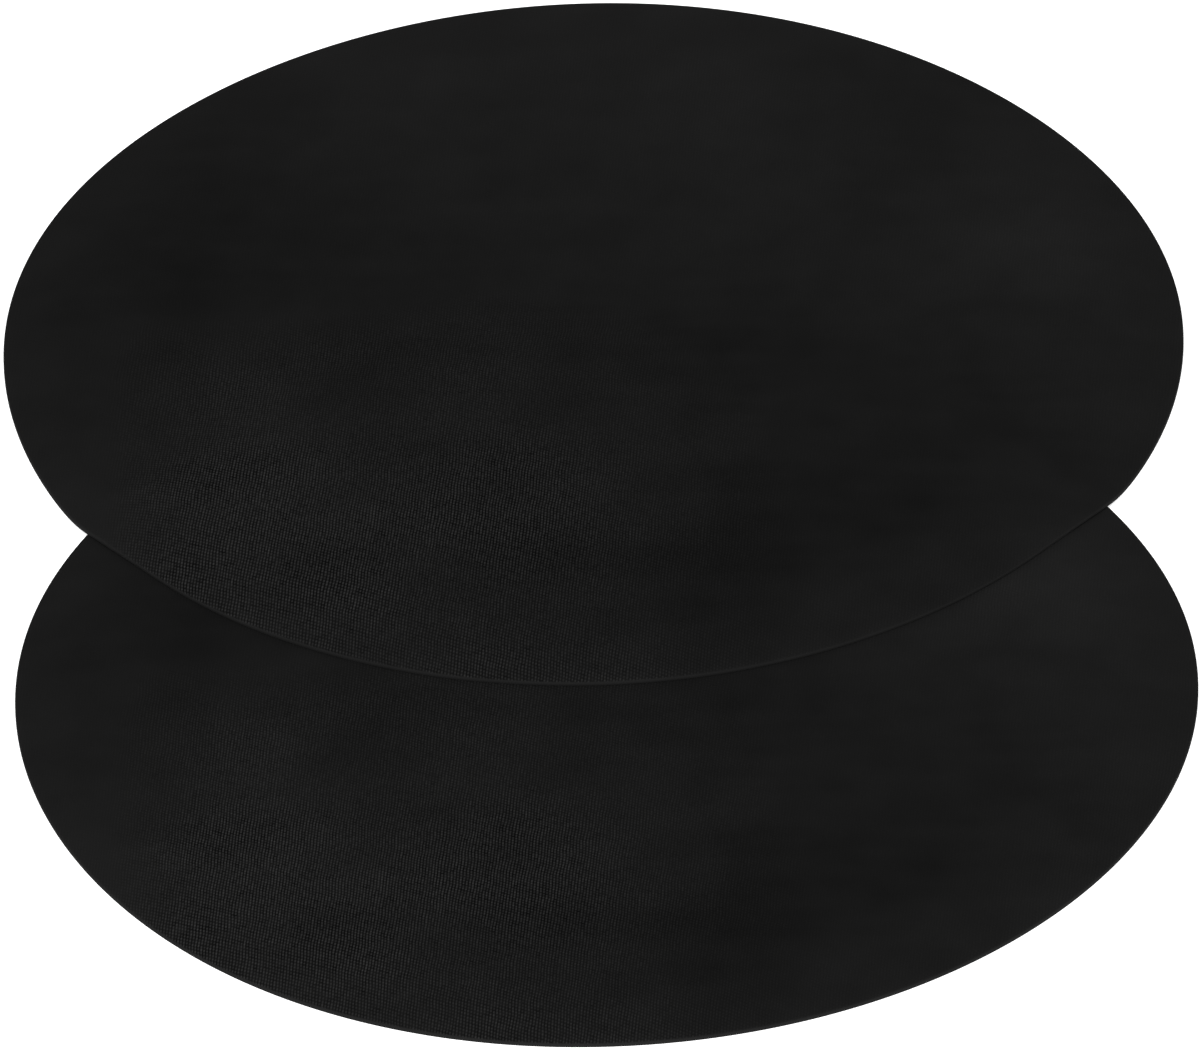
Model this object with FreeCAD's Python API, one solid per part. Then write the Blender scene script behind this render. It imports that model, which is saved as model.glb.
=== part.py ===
import FreeCAD, Part
import math
import os

# A set of two slip-on wheel covers for a caravan or motorhome, lying face up with their skirts folded under.
# Each cover is a round face panel sewn to a skirt. The skirt's inner edge ends in a casing with an elastic
# drawcord, which a spring-loaded cord lock tightens behind the tyre. The rear cover lies half on the front
# one and drapes down behind it. Millimetres, +Z up, +Y to the rear. The origin is on the floor, under the
# middle of the pair.

# Driving dimensions
FACE_R = 350.0  # outside radius of a cover, for tyres of 690 to 720 mm
COVER_STEP = 352.0  # how far the rear cover's centre lies behind the front one's
SHEET = 0.8  # coated woven cloth
SKIRT_SHEET = 1.2  # the skirt's cloth with its gathers pressed flat
BINDING = 1.2  # the bound seam allowance inside the rim
BINDING_SPAN = (338.0, 347.5)
LAYER_GAP = 0.1  # between layers that are sewn together
FACE_RISE = 8.2  # how far the folded skirt lifts the face above its rim
LEVEL_R = 290.0  # inside this radius the face is level
DRAPE_SPAN = (288.0, 424.0)  # the rear cover comes down off the front one between these radii
DRAPE_GAP = 0.35  # between the two covers

# Hem casing and drawcord
HEM_R = 166.0  # centreline of the casing
HEM_POINTS = 48  # points of the casing's route round the cover
CASING_R = 2.7
CASING_BORE_R = 2.1
FLANGE_SPAN = (167.0, 178.0)  # where the casing's tape is sewn to the skirt
FLANGE = 0.6
SKIRT_INNER_R = 168.4
TAPE_W = 14.0  # tape over each seam of the skirt
TAPE_SPAN = (181.0, 334.0)
CORD_R = 1.5
EYELET_X = 24.0  # the casing's ends, either side of the cord's exit
EYELET_L = 2.4
NOTCH_X = EYELET_X + 0.9  # the flange is cut back beside the exit
EYELET_R = 2.7
EYELET_BORE_R = 2.2

# Cord lock and cord end, measured from the cover's centre
TAIL_X = 1.7  # the two tails run side by side
LOCK_Y = 150.0
LOCK_R = 4.5
LOCK_L = 17.2
LOCK_WALL = 1.2
STEM_R = 3.1
STEM_END = 1.2  # closed end of the button's stem, against the spring
BUTTON_R = 3.6
BUTTON_L = 2.6
BUTTON_TRAVEL = 3.0
SLIT_H = 3.5  # height of the cord slit through lock and button
SLIT_X = 3.35  # half its width
SPRING_R = 2.2
SPRING_WIRE_R = 0.25
SPRING_TURNS = 4
SPRING_POINTS = 12  # points of the coil's route to a turn
SPRING_L = 4.8
CORD_END_SPAN = (104.0, 117.0)
CORD_END_R = 4.4
CORD_SOCKET = 10.0  # how deep the tails go into the cord end

GRID_N = 33  # samples of a draped surface along each side
COLUMN_H = 60.0  # tall enough to cut any layer

# Heights of the layers above what the cover lies on
CASING_Z = CASING_R + LAYER_GAP
TAIL_Z = LOCK_R + LAYER_GAP
BINDING_Z = SKIRT_SHEET + LAYER_GAP
RIM_Z = BINDING_Z + BINDING + LAYER_GAP  # underside of the face at its rim
DRAPE_H = RIM_Z + FACE_RISE + SHEET + DRAPE_GAP

# Places along the cord lock's own axis, from the middle of the cord slit
STEM_X = -SLIT_X - STEM_END
SPRING_X = STEM_X - SPRING_L - 2 * SPRING_WIRE_R - 0.1
LOCK_X = SPRING_X - LOCK_WALL
BUTTON_X = LOCK_X + LOCK_L + BUTTON_TRAVEL + 0.4

UP = FreeCAD.Vector(0, 0, 1)
ALONG_X = FreeCAD.Vector(1, 0, 0)
ALONG_Y = FreeCAD.Vector(0, 1, 0)


def face_height(radius):
    """Underside of the face above the cover's ground: level, then a quarter sine down to the rim."""
    share = min(1.0, (FACE_R - radius) / (FACE_R - LEVEL_R))
    return RIM_Z + FACE_RISE * math.sin(share * math.pi / 2)


def drape_height(radius):
    """Ground under the rear cover, at a radius from the front cover's centre."""
    inner, outer = DRAPE_SPAN
    share = min(1.0, max(0.0, (radius - inner) / (outer - inner)))
    return DRAPE_H * (1 + math.cos(math.pi * share)) / 2


def level_height(height):
    """The same height at any radius."""
    return lambda radius: height


class Cover:
    """Where one cover lies: its centre along Y, and whether it is draped over the front one."""

    def __init__(self, name, centre_y, draped):
        self.name = name
        self.centre = FreeCAD.Vector(0, centre_y, 0)
        self.draped = draped

    def ground(self, x, y):
        """Height of what lies under a point that is x, y from the cover's centre."""
        return drape_height(math.hypot(x, y + COVER_STEP)) if self.draped else 0.0

    def place(self, x, y, z):
        """The point x, y from the cover's centre, z above its ground there."""
        return self.centre + FreeCAD.Vector(x, y, z + self.ground(x, y))


def sheet_face(cover, height):
    """A face wider than the cover, following its ground at height(radius from its centre)."""
    side = 2 * FACE_R + 12
    if not cover.draped and height(0) == height(FACE_R):
        return Part.makePlane(side, side, cover.centre + FreeCAD.Vector(-side / 2, -side / 2, height(0)))
    steps = [side * i / (GRID_N - 1) - side / 2 for i in range(GRID_N)]
    surface = Part.BSplineSurface()
    surface.interpolate([[cover.place(x, y, height(math.hypot(x, y))) for y in steps] for x in steps])
    return surface.toShape()


def ring_column(cover, inner, outer):
    """An upright ring round the cover's centre, or a disc where inner is 0, to cut sheets with."""
    foot = cover.centre - UP * COLUMN_H / 2
    column = Part.makeCylinder(outer, COLUMN_H, foot)
    return column.cut(Part.makeCylinder(inner, COLUMN_H, foot)) if inner else column


def block_column(cover, low_x, low_y, high_x, high_y):
    """An upright block, placed from the cover's centre."""
    corner = cover.centre + FreeCAD.Vector(low_x, low_y, -COLUMN_H / 2)
    return Part.makeBox(high_x - low_x, high_y - low_y, COLUMN_H, corner)


def sheet(cover, height, thickness, column):
    """A sheet of cloth whose underside follows height(radius), cut to the column's outline."""
    return sheet_face(cover, height).extrude(UP * thickness).common(column)


def face_panel(cover):
    """The round face, with its cloth turned down at the rim to meet the skirt."""
    disc = sheet(cover, face_height, SHEET, ring_column(cover, 0, FACE_R))
    turned = ring_column(cover, FACE_R - SHEET, FACE_R)
    turn_height = RIM_Z - BINDING_Z + SHEET / 2
    return disc.fuse(sheet(cover, level_height(BINDING_Z), turn_height, turned))


def skirt_half(cover, side):
    """Half of the skirt, folded flat under the face. side is -1 on the left and 1 on the right."""
    low_x, high_x = sorted((side * LAYER_GAP / 2, side * (FACE_R + 1)))
    half = block_column(cover, low_x, -FACE_R - 1, high_x, FACE_R + 1)
    ring = ring_column(cover, SKIRT_INNER_R, FACE_R)
    return sheet(cover, level_height(0.0), SKIRT_SHEET, ring.common(half))


def seam_tapes(cover):
    """The tapes over the two seams that join the skirt's halves."""
    inner, outer = TAPE_SPAN
    front = block_column(cover, -TAPE_W / 2, -outer, TAPE_W / 2, -inner)
    rear = block_column(cover, -TAPE_W / 2, inner, TAPE_W / 2, outer)
    return Part.makeCompound([sheet(cover, level_height(BINDING_Z), SHEET, tape) for tape in (front, rear)])


def rim_binding(cover):
    """The bound seam allowance between face and skirt, just inside the rim."""
    return sheet(cover, level_height(BINDING_Z), BINDING, ring_column(cover, *BINDING_SPAN))


def rounded_path(points):
    """Straight runs through the points, joined by tangent arcs as large as the runs allow."""
    edges, radii, start = [], [], points[0]
    for before, corner, after in zip(points, points[1:], points[2:]):
        back, ahead = before - corner, after - corner
        reach = 0.45 * min(back.Length, ahead.Length)
        half_turn = (math.pi - back.getAngle(ahead)) / 2
        back.normalize()
        ahead.normalize()
        radius = reach / math.tan(half_turn)
        inward = (back + ahead).normalize()
        middle = corner + inward * (math.hypot(radius, reach) - radius)
        edges.append(Part.LineSegment(start, corner + back * reach).toShape())
        edges.append(Part.Arc(corner + back * reach, middle, corner + ahead * reach).toShape())
        radii.append(radius)
        start = corner + ahead * reach
    edges.append(Part.LineSegment(start, points[-1]).toShape())
    return Part.Wire(edges), min(radii)


def rod(points, radius):
    """A round rod along the rounded path through the points."""
    path, _ = rounded_path(points)
    profile = Part.Wire(Part.makeCircle(radius, points[0], points[1] - points[0]))
    return path.makePipeShell([profile], True, True)


def hem_route(cover):
    """Points round the hem, from the right end of the casing round the front to its left end."""
    gap = math.asin(EYELET_X / HEM_R)
    step = 2 * (math.pi - gap) / (HEM_POINTS - 1)
    angles = [math.pi / 2 - gap - step * i for i in range(HEM_POINTS)]
    return [cover.place(HEM_R * math.cos(a), HEM_R * math.sin(a), CASING_Z) for a in angles]


def hem_casing(cover):
    """The tape round the skirt's inner edge: a tunnel for the cord, open at its exit, and a sewn flange."""
    route = hem_route(cover)
    flange = sheet(cover, level_height(BINDING_Z), FLANGE, ring_column(cover, *FLANGE_SPAN))
    notch = block_column(cover, -NOTCH_X, 0, NOTCH_X, SKIRT_INNER_R + 0.8)
    return rod(route, CASING_R).fuse(flange.cut(notch)).cut(rod(route, CASING_BORE_R))


def cord_route(cover):
    """The drawcord's points: the right tail, round the hem, and the left tail."""
    tail_end = CORD_END_SPAN[1] - CORD_SOCKET
    tails = [[cover.place(x, tail_end, TAIL_Z), cover.place(x, HEM_R, TAIL_Z)] for x in (TAIL_X, -TAIL_X)]
    return tails[0] + hem_route(cover) + tails[1][::-1]


def cord_eyelets(cover):
    """The two rings that finish the casing's ends, where the cord comes out."""
    route = hem_route(cover)
    rings = []
    for end, beside in ((route[0], route[1]), (route[-1], route[-2])):
        out = (end - beside).normalize()
        ring = Part.makeCylinder(EYELET_R, EYELET_L, end + out * LAYER_GAP, out)
        rings.append(ring.cut(Part.makeCylinder(EYELET_BORE_R, EYELET_L + 1, end, out)))
    return Part.makeCompound(rings)


def round_edges(shape):
    """The circular edges of a turned piece."""
    return [edge for edge in shape.Edges if isinstance(edge.Curve, Part.Circle)]


def lock_rod(cover, radius, start_x, length):
    """A rod on the cord lock's own axis."""
    start = cover.place(0, LOCK_Y, TAIL_Z) + ALONG_X * start_x
    return Part.makeCylinder(radius, length, start, ALONG_X)


def cord_slit(cover, low_x, high_x):
    """A slit along Y through the cord lock, for both tails side by side."""
    corner = cover.place(0, LOCK_Y, TAIL_Z) + FreeCAD.Vector(low_x, -2 * LOCK_R, -SLIT_H / 2)
    return Part.makeBox(high_x - low_x, 4 * LOCK_R, SLIT_H, corner)


def lock_body(cover):
    """The barrel: closed at its left end, bored for the button, with the cord slit across."""
    barrel = lock_rod(cover, LOCK_R, LOCK_X, LOCK_L)
    bore = lock_rod(cover, STEM_R + 0.15, LOCK_X + LOCK_WALL, LOCK_L)
    return barrel.makeFillet(0.8, round_edges(barrel)).cut(bore).cut(cord_slit(cover, -SLIT_X, SLIT_X))


def lock_button(cover):
    """The plunger with its head. Its slit is longer by the travel, so pressing it frees the cords."""
    stem = lock_rod(cover, STEM_R, STEM_X, BUTTON_X - STEM_X + 0.5)
    head = lock_rod(cover, BUTTON_R, BUTTON_X, BUTTON_L)
    button = stem.fuse(head.makeFillet(0.7, round_edges(head)))
    return button.cut(cord_slit(cover, -SLIT_X, SLIT_X + BUTTON_TRAVEL))


def lock_spring(cover):
    """The coil of round wire between the barrel's closed end and the button."""
    start = cover.place(0, LOCK_Y, TAIL_Z) + ALONG_X * (SPRING_X + SPRING_WIRE_R + LAYER_GAP / 2)
    count = SPRING_TURNS * SPRING_POINTS
    points = []
    for i in range(count + 1):
        angle = 2 * math.pi * i / SPRING_POINTS
        across = FreeCAD.Vector(0, math.cos(angle), math.sin(angle)) * SPRING_R
        points.append(start + ALONG_X * (SPRING_L * i / count) + across)
    return rod(points, SPRING_WIRE_R)


def cord_end(cover):
    """The moulded bell that both tails are clamped in."""
    low, high = CORD_END_SPAN
    foot = cover.place(0, low, TAIL_Z)
    bell = Part.makeCone(CORD_END_R * 0.84, CORD_END_R, high - low, foot, ALONG_Y)
    bell = bell.makeFillet(0.9, round_edges(bell))
    for x in (-TAIL_X, TAIL_X):
        bottom = cover.place(x, high - CORD_SOCKET, TAIL_Z)
        bell = bell.cut(Part.makeCylinder(CORD_R + 0.02, CORD_SOCKET + 1, bottom, ALONG_Y))
    return bell


def cover_pieces(cover):
    """Every piece of one cover, by its name without the cover's."""
    return {
        "face_panel": face_panel(cover),
        "skirt_left": skirt_half(cover, -1),
        "skirt_right": skirt_half(cover, 1),
        "skirt_seam_tapes": seam_tapes(cover),
        "rim_binding": rim_binding(cover),
        "hem_casing": hem_casing(cover),
        "hem_drawcord": rod(cord_route(cover), CORD_R),
        "cord_eyelets": cord_eyelets(cover),
        "cord_lock_body": lock_body(cover),
        "cord_lock_button": lock_button(cover),
        "cord_lock_spring": lock_spring(cover),
        "cord_end": cord_end(cover),
    }


def main():
    """Writes one STEP file for each piece, and prints what each measures."""
    os.makedirs("parts", exist_ok=True)
    for cover in (Cover("front", -COVER_STEP / 2, False), Cover("rear", COVER_STEP / 2, True)):
        path, tightest = rounded_path(cord_route(cover))
        section = math.pi * CORD_R**2 / 1000
        print(f"{cover.name} drawcord: {path.Length:.0f} mm, bends to {tightest:.1f} mm, "
              f"{path.Length * section:.2f} cm3")
        for piece, shape in cover_pieces(cover).items():
            node = f"{cover.name}_{piece}"
            shape.exportStep(f"parts/{node}.step")
            print(f"{node}: {len(shape.Solids)} solids, {shape.Volume / 1000:.2f} cm3, valid {shape.isValid()}")


main()
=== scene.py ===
import logging
import math
from collections.abc import Callable
from dataclasses import dataclass
from enum import Enum

import bmesh
import bpy
from mathutils import Matrix, Quaternion, Vector, noise


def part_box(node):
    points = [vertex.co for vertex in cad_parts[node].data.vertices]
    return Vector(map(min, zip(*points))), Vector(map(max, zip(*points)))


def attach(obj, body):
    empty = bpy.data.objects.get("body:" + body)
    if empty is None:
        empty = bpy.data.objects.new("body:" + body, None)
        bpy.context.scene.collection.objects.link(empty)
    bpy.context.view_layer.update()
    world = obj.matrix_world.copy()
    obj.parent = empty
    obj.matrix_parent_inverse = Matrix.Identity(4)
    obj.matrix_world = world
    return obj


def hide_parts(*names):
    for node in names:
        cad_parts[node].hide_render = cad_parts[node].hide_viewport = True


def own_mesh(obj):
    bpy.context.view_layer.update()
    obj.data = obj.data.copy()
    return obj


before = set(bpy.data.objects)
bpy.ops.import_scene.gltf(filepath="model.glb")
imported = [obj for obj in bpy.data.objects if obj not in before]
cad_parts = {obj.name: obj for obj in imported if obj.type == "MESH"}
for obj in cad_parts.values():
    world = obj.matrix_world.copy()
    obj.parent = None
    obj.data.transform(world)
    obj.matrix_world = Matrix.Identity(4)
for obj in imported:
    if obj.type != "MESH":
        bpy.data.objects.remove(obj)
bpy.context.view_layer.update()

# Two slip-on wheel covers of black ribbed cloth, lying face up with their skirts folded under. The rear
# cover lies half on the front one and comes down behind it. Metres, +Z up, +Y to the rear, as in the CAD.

LOG = logging.getLogger("wheel_covers")
MM = 0.001
UP = Vector((0, 0, 1))
WEAVE = "weave"  # UV map in metres over the flat cloth, so that the weave follows it
NAP_AND_PAINTED_LIGHT = "nap_and_painted_light"  # how pale the cloth is, about 1 on average; it also carries painted light on the face's rim wall and the skirt's fold
RIB_AND_PAINTED_LIGHT = "rib"  # how far the ribs stand out, in relief and in painted light and shade, 0 to about 1
SECTORS = 20  # a ring is spun as this many equal sectors
MERGE = 1e-6  # points nearer than this are one point, in metres
ROUNDING = 1e-9  # slack where two lengths are compared, in metres
DENT = 1.4 * MM  # the deepest soft dent in a face
DENT_LAYERS = ((7.0, 0.65), (17.0, 0.35))  # the dents' layers of noise, as in clouds()
DENT_FADE = (0.86, 0.985)  # the shares of the radius between which the dents fade out


def smooth(value: float, low: float, high: float) -> float:
    """A soft step.

    Args:
        value: Where to read it.
        low: Where it is still 0.
        high: Where it has reached 1.

    Returns:
        0 to 1, level at both ends.
    """
    share = min(1.0, max(0.0, (value - low) / (high - low)))
    return share * share * (3 - 2 * share)


def clouds(spot: Vector, layers: tuple[tuple[float, float], ...]) -> float:
    """Soft noise at a point, in layers.

    Args:
        spot: The point, in metres.
        layers: How many spots a metre each layer has, and how strong it is.

    Returns:
        The layers' sum, about 0 on average.
    """
    return sum(strength * noise.noise(spot * spots) for spots, strength in layers)


def dent(x: float, y: float, radius: float) -> float:
    """How deep a face's soft dents are.

    Args:
        x: From the cover's centre, in metres.
        y: From the cover's centre, in metres.
        radius: The cover's.

    Returns:
        The depth in metres, 0 at the rim.
    """
    waves = clouds(Vector((x, y, 0.3)), DENT_LAYERS)
    start, end = (share * radius for share in DENT_FADE)
    return DENT * (0.5 - 0.5 * waves) * (1 - smooth(math.hypot(x, y), start, end))


class Side(Enum):
    """Which half of the skirt."""

    LEFT = -1
    RIGHT = 1


# ---------------------------------------------------------------- finishes


class Graph:
    """A material's nodes, with short ways to add and join them."""

    def __init__(self, name: str) -> None:
        """Starts a material with its principled shader.

        Args:
            name: The material's name.
        """
        self.material = bpy.data.materials.new(name)
        self.material.use_nodes = True
        self.tree = self.material.node_tree
        self.shader = self.tree.nodes["Principled BSDF"]

    def node(self, kind: str, **settings: object) -> bpy.types.Node:
        """Adds a node.

        Args:
            kind: The node's type.
            **settings: Its properties.

        Returns:
            The new node.
        """
        made = self.tree.nodes.new(kind)
        for key, value in settings.items():
            setattr(made, key, value)
        return made

    def feed(self, socket: bpy.types.NodeSocket, value: object) -> None:
        """Joins an output to a socket, or sets the socket to a plain value.

        Args:
            socket: The input socket.
            value: An output socket, or the plain value.
        """
        if isinstance(value, bpy.types.NodeSocket):
            self.tree.links.new(value, socket)
        else:
            socket.default_value = value

    def math(self, operation: str, *values: object) -> bpy.types.NodeSocket:
        """Works out one operation on sockets or numbers.

        Args:
            operation: The math node's operation.
            *values: Its inputs, in order.

        Returns:
            The result's socket.
        """
        made = self.node("ShaderNodeMath", operation=operation)
        for socket, value in zip(made.inputs, values):
            self.feed(socket, value)
        return made.outputs[0]

    def wave(self, place: object, period: float, shift: object = 0.0) -> bpy.types.NodeSocket:
        """A cosine from 0 to 1.

        Args:
            place: The coordinate, in metres.
            period: Its repeat, in metres.
            shift: Added to the angle.

        Returns:
            The wave's socket, 1 at place 0.
        """
        angle = self.math("ADD", self.math("MULTIPLY", place, 2 * math.pi / period), shift)
        return self.math("MULTIPLY_ADD", self.math("COSINE", angle), 0.5, 0.5)

    def grain(self, place: bpy.types.NodeSocket, size: float, detail: float = 2.0) -> bpy.types.NodeSocket:
        """Soft noise.

        Args:
            place: The coordinates, in metres.
            size: How large its spots are, in metres.
            detail: How many finer layers it has.

        Returns:
            The noise's socket, about 0 to 1.
        """
        made = self.node("ShaderNodeTexNoise")
        self.feed(made.inputs["Vector"], place)
        made.inputs["Scale"].default_value = 1 / size
        made.inputs["Detail"].default_value = detail
        return made.outputs["Fac"]

    def tint(self, share: object, dark: tuple[float, ...], pale: tuple[float, ...]) -> bpy.types.NodeSocket:
        """A colour between two.

        Args:
            share: 0 for dark, 1 for pale.
            dark: The first colour.
            pale: The second colour.

        Returns:
            The colour's socket.
        """
        made = self.node("ShaderNodeMix", data_type="RGBA")
        self.feed(made.inputs["Factor"], share)
        made.inputs["A"].default_value = (*dark, 1)
        made.inputs["B"].default_value = (*pale, 1)
        return made.outputs["Result"]

    def relief(self, height: bpy.types.NodeSocket, depth: float) -> None:
        """Gives the shader's surface a relief.

        Args:
            height: How high each point is, 0 to 1.
            depth: How far a height of 1 stands out, in metres.
        """
        made = self.node("ShaderNodeBump")
        made.inputs["Strength"].default_value = 1.0
        made.inputs["Distance"].default_value = depth
        self.feed(made.inputs["Height"], height)
        self.feed(self.shader.inputs["Normal"], made.outputs["Normal"])

    def set(self, **sockets: object) -> None:
        """Sets or joins the shader's sockets, named with _ for a space."""
        for name, value in sockets.items():
            self.feed(self.shader.inputs[name.replace("_", " ")], value)


@dataclass(frozen=True)
class RibbedCloth:
    """Near-black coated polyester with a fine rib along its length, broken into slanting rows of cells."""

    name: str = "ribbed_cloth"
    # groove is the colour in the rib grooves, painted dark as shade; crown is the colour on the rib crowns,
    # painted pale as a highlight
    groove: tuple[float, float, float] = (0.0004, 0.0004, 0.0004)
    crown: tuple[float, float, float] = (0.0286, 0.0285, 0.0283)
    body: float = 0.19  # the plain cloth's share of the way from groove to crown
    rib: float = 1.85 * MM
    cell: float = 2.6 * MM
    slant: float = 1.8  # how far each rib's cells are ahead of the last rib's, in radians
    dash: float = 4.5 * MM  # how far a rib runs before it fades or swells
    apart: float = 3.7  # how far apart in the noise two ribs are read, so that their dashes differ
    depth: float = 0.16 * MM
    rib_light_and_shade: float = 3.4  # how much the painted highlights on the rib crowns and the painted shade in their grooves lighten and darken the cloth
    middle: float = 0.25  # the rib's height at which they do neither
    specular: float = 0.03
    roughness: float = 0.9

    def material(self) -> bpy.types.Material:
        """Makes the cloth's material.

        Returns:
            The material, which reads the cloth's UV map and its nap and rib attributes, and paints light and
            shade into the cloth's colour.
        """
        graph = Graph(self.name)
        flat = graph.node("ShaderNodeUVMap", uv_map=WEAVE).outputs["UV"]
        parts = graph.node("ShaderNodeSeparateXYZ")
        graph.feed(parts.inputs[0], flat)
        nap_and_painted_light = graph.node("ShaderNodeAttribute", attribute_name=NAP_AND_PAINTED_LIGHT).outputs["Fac"]
        rib_relief_and_light = graph.node("ShaderNodeAttribute", attribute_name=RIB_AND_PAINTED_LIGHT).outputs["Fac"]
        drift = graph.math("MULTIPLY", graph.grain(flat, 24 * MM), 2.4 * MM)
        across = graph.math("ADD", parts.outputs[0], drift)
        row = graph.math("FLOOR", graph.math("MULTIPLY_ADD", across, 1 / self.rib, 0.5))
        ribs = graph.wave(across, self.rib)
        cells = graph.wave(parts.outputs[1], self.cell, graph.math("MULTIPLY", row, self.slant))
        lane = graph.node("ShaderNodeCombineXYZ")
        graph.feed(lane.inputs[0], graph.math("MULTIPLY", row, self.apart))
        graph.feed(lane.inputs[1], graph.math("MULTIPLY", parts.outputs[1], 1 / self.dash))
        dashes = graph.math("MULTIPLY_ADD", graph.grain(lane.outputs[0], 1.0), 2.6, -0.8)
        dashes.node.use_clamp = True
        fibres = graph.grain(flat, 0.35 * MM, 1.0)
        broken = graph.math("MULTIPLY_ADD", cells, 0.55, graph.math("MULTIPLY", dashes, 0.45))
        yarn = graph.math("MULTIPLY", ribs, broken)
        uneven = graph.math("MULTIPLY_ADD", graph.grain(flat, 6 * MM, 3.0), 1.6, 0.2)
        stand = graph.math("MULTIPLY", graph.math("MULTIPLY", yarn, rib_relief_and_light), uneven)
        graph.relief(graph.math("MULTIPLY_ADD", fibres, 0.15, stand), self.depth)
        # Painted light and shade: where the ribs show, their crowns are painted paler and their grooves
        # darker, and the nap attribute brings in the painted light of the rim's wall and the skirt's fold.
        clear = graph.math("MULTIPLY", rib_relief_and_light, uneven)
        weave = graph.math("MULTIPLY", graph.math("SUBTRACT", yarn, self.middle), clear)
        worn = graph.math("MULTIPLY_ADD", graph.grain(flat, 1.1 * MM), 0.2, 0.9)
        plain = graph.math("MULTIPLY", graph.math("MULTIPLY", nap_and_painted_light, self.body), worn)
        share = graph.math("MULTIPLY", plain, graph.math("MULTIPLY_ADD", weave, self.rib_light_and_shade, 1.0))
        graph.set(Base_Color=graph.tint(share, self.groove, self.crown))
        graph.set(Roughness=self.roughness, Specular_IOR_Level=self.specular)
        return graph.material


@dataclass(frozen=True)
class WovenTape:
    """Black polyester tape with a fine cross rib."""

    name: str = "woven_tape"
    dark: tuple[float, float, float] = (0.004, 0.004, 0.004)
    pale: tuple[float, float, float] = (0.012, 0.012, 0.012)
    rib: float = 0.8 * MM

    def material(self) -> bpy.types.Material:
        """Makes the tape's material.

        Returns:
            The material, whose rib follows the weave's UV map.
        """
        graph = Graph(self.name)
        flat = graph.node("ShaderNodeUVMap", uv_map=WEAVE).outputs["UV"]
        parts = graph.node("ShaderNodeSeparateXYZ")
        graph.feed(parts.inputs[0], flat)
        ribs = graph.wave(parts.outputs[0], self.rib)
        threads = graph.wave(parts.outputs[1], self.rib * 0.6)
        height = graph.math("MULTIPLY_ADD", threads, 0.35, ribs)
        graph.relief(height, 0.06 * MM)
        blotches = graph.math("MULTIPLY", graph.grain(flat, 4 * MM), 0.5)
        # Painted shade and highlight: the tape is darker in the hollows of its weave and paler on its raised
        # threads, following its relief; the blotches are its uneven tone.
        share = graph.math("MULTIPLY_ADD", height, 0.35, blotches)
        graph.set(Base_Color=graph.tint(share, self.dark, self.pale))
        graph.set(Roughness=0.85, Specular_IOR_Level=0.2)
        return graph.material


@dataclass(frozen=True)
class BraidedCord:
    """Black braided sheath of an elastic cord."""

    length: float
    name: str = "braided_cord"
    dark: tuple[float, float, float] = (0.005, 0.005, 0.005)
    pale: tuple[float, float, float] = (0.014, 0.014, 0.014)
    lay: float = 4.5 * MM
    strands: int = 8

    def material(self) -> bpy.types.Material:
        """Makes the sheath's material.

        Returns:
            The material, whose strands cross both ways round the cord's UV map.
        """
        graph = Graph(self.name)
        parts = graph.node("ShaderNodeSeparateXYZ")
        graph.feed(parts.inputs[0], graph.node("ShaderNodeUVMap", uv_map="UVMap").outputs["UV"])
        along = graph.math("MULTIPLY", parts.outputs[0], self.length / self.lay * self.strands)
        round_it = graph.math("MULTIPLY", parts.outputs[1], float(self.strands))
        right = graph.wave(graph.math("ADD", along, round_it), 1.0)
        left = graph.wave(graph.math("SUBTRACT", along, round_it), 1.0)
        height = graph.math("MAXIMUM", right, left)
        graph.relief(height, 0.25 * MM)
        # Painted shade and highlight: the sheath is darker between the strands and paler on their crowns,
        # following its relief.
        graph.set(Base_Color=graph.tint(height, self.dark, self.pale))
        graph.set(Roughness=0.7, Specular_IOR_Level=0.3)
        return graph.material


@dataclass(frozen=True)
class MouldedPlastic:
    """Black moulded acetal with a fine spark texture."""

    name: str
    roughness: float
    spark: float
    colour: tuple[float, float, float] = (0.007, 0.007, 0.0073)

    def material(self) -> bpy.types.Material:
        """Makes the plastic's material.

        Returns:
            The material, on object coordinates.
        """
        graph = Graph(self.name)
        place = graph.node("ShaderNodeTexCoord").outputs["Object"]
        spark = graph.grain(place, 0.3 * MM, 3.0)
        graph.relief(spark, self.spark)
        handled = graph.grain(place, 6 * MM)
        pale = tuple(1.5 * part for part in self.colour)
        matt = graph.math("MULTIPLY_ADD", handled, 0.15, self.roughness)
        graph.set(Base_Color=graph.tint(handled, self.colour, pale), Roughness=matt, Specular_IOR_Level=0.5)
        return graph.material


@dataclass(frozen=True)
class Steel:
    """Drawn or plated steel with fine scratches."""

    name: str
    colour: tuple[float, float, float]
    roughness: float = 0.3

    def material(self) -> bpy.types.Material:
        """Makes the metal's material.

        Returns:
            The material, on object coordinates.
        """
        graph = Graph(self.name)
        place = graph.node("ShaderNodeTexCoord").outputs["Object"]
        rubbed = graph.grain(place, 1.2 * MM, 4.0)
        graph.relief(graph.grain(place, 0.25 * MM, 3.0), 0.01 * MM)
        dull = tuple(0.6 * part for part in self.colour)
        graph.set(Base_Color=graph.tint(rubbed, dull, self.colour), Metallic=1.0)
        graph.set(Roughness=graph.math("MULTIPLY_ADD", rubbed, 0.2, self.roughness))
        return graph.material


@dataclass(frozen=True)
class Thread:
    """Black bonded sewing thread."""

    name: str = "sewing_thread"
    dark: tuple[float, float, float] = (0.004, 0.004, 0.004)
    pale: tuple[float, float, float] = (0.013, 0.013, 0.013)

    def material(self) -> bpy.types.Material:
        """Makes the thread's material.

        Returns:
            The material, on object coordinates.
        """
        graph = Graph(self.name)
        twist = graph.grain(graph.node("ShaderNodeTexCoord").outputs["Object"], 0.4 * MM)
        graph.relief(twist, 0.05 * MM)
        # Painted shade: the thread is darker where its relief is low.
        graph.set(Base_Color=graph.tint(twist, self.dark, self.pale), Roughness=0.55)
        return graph.material


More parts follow.
